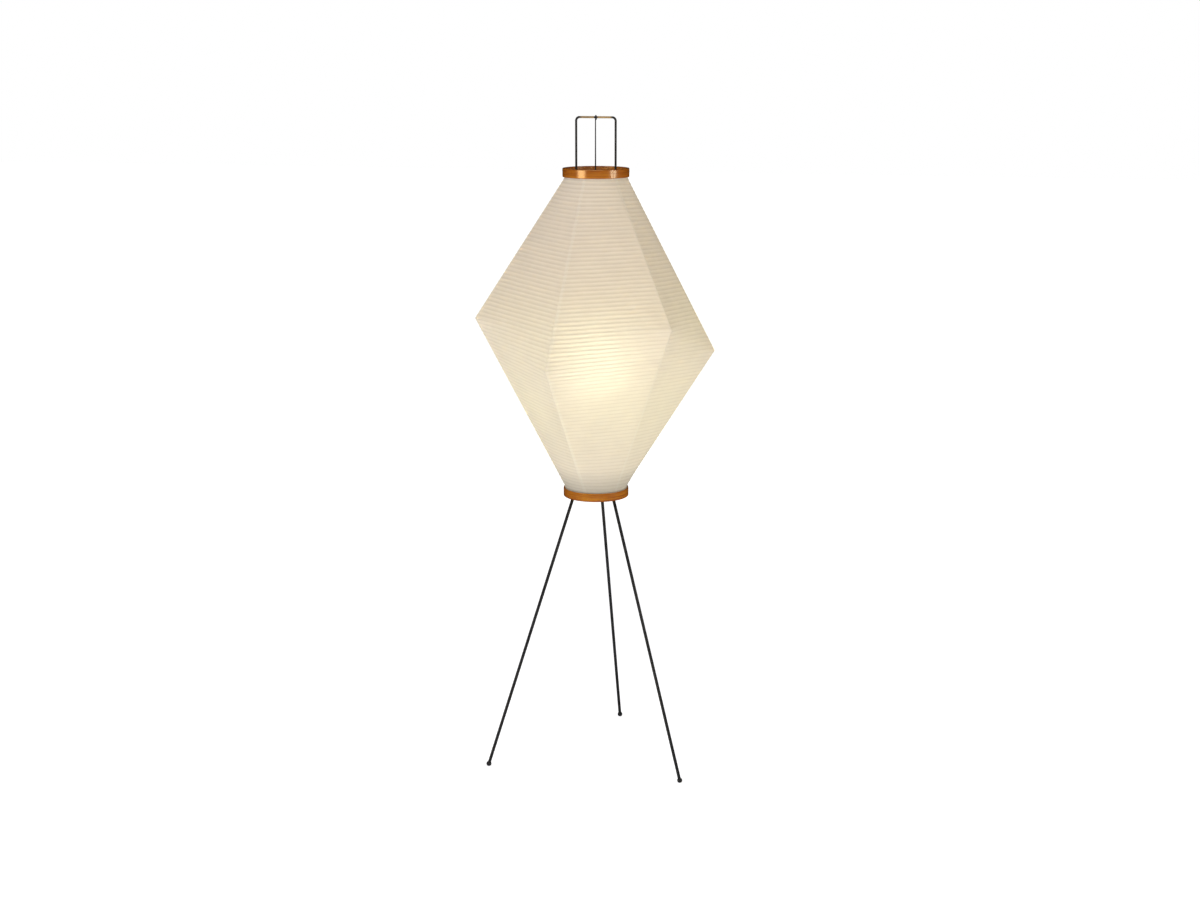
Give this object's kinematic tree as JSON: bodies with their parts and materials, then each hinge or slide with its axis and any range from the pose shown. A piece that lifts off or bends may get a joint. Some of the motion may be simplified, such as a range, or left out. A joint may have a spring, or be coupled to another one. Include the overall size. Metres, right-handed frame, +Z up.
{
  "type": "paper floor lamp",
  "caption": "Floor lamp with a faceted diamond lantern of ribbed paper between two bent-wood hoops, hung on a wire frame over a slim rod tripod with ball feet.",
  "frame": {"origin": "on the floor under the middle of the lamp, at the bottom centre of its box", "axes": "+Z up along the lamp's axis, +X along the wire frame's crossbar, +Y towards the single back leg"},
  "size_m": [0.5188, 0.5414, 1.5049],
  "materials": {
    "black_lacquered_steel": "satin black lacquer on steel rod",
    "bright_steel": "drawn steel wire, slightly dull",
    "brass": "plain turned brass",
    "black_plastic": "moulded black thermoset",
    "white_ceramic": "unglazed steatite",
    "bulb_cap_metal": "plated screw cap",
    "white_plastic": "smooth white plastic",
    "light_board": "white-faced board",
    "opal_plastic": "opal diffusing dome, lit from inside",
    "amber_wood": "bent wood strip, amber satin lacquer",
    "bamboo": "split bamboo, bare",
    "washi_paper": "translucent mulberry paper, pasted in gores"
  },
  "bodies": {
    "stand": {"leg_left": "black_lacquered_steel", "leg_right": "black_lacquered_steel", "leg_back": "black_lacquered_steel", "foot_left": "black_lacquered_steel", "foot_right": "black_lacquered_steel", "foot_back": "black_lacquered_steel", "leg_hub": "black_lacquered_steel", "frame_saddle": "black_lacquered_steel", "frame_ferrules": "black_lacquered_steel", "hanger_frame": "black_lacquered_steel", "leg_grub_screws": "bright_steel", "threaded_nipple": "brass", "nipple_washer": "bright_steel", "nipple_nut": "bright_steel", "cord_gland": "black_plastic", "stem_sleeve": "brass", "holder_cap": "black_plastic", "holder_body": "black_plastic", "holder_insulator": "white_ceramic", "terminal_screws": "bright_steel", "screw_shell": "brass", "centre_contact": "brass"},
    "bulb": {"bulb_tip": "bright_steel", "bulb_base": "black_plastic", "bulb_cap": "bulb_cap_metal", "bulb_housing": "white_plastic", "light_board": "light_board", "bulb_dome": "opal_plastic"},
    "shade": {"upper_hoop": "amber_wood", "cross_wire": "bright_steel", "hanger_hook": "black_lacquered_steel", "paper_gore_1": "washi_paper", "paper_gore_2": "washi_paper", "paper_gore_3": "washi_paper", "paper_gore_4": "washi_paper", "paper_gore_5": "washi_paper", "paper_gore_6": "washi_paper", "bamboo_rib": "bamboo"},
    "lower_hoop": {"lower_hoop": "amber_wood", "hoop_lugs": "bright_steel"}
  },
  "joints": [
    {"name": "shade_lift", "type": "slide", "parent": "stand", "child": "shade", "axis": [0, 0, 1], "range_m": [0, 0.9]},
    {"name": "lower_hoop_raise", "type": "slide", "parent": "shade", "child": "lower_hoop", "axis": [0, 0, 1], "range_m": [0, 0.5], "deforming": ["paper_gore_1", "paper_gore_2", "paper_gore_3", "paper_gore_4", "paper_gore_5", "paper_gore_6", "bamboo_rib"]},
    {"name": "bulb_out", "type": "slide", "parent": "stand", "child": "bulb", "axis": [0, 0, 1], "range_m": [0, 0.03]}
  ]
}
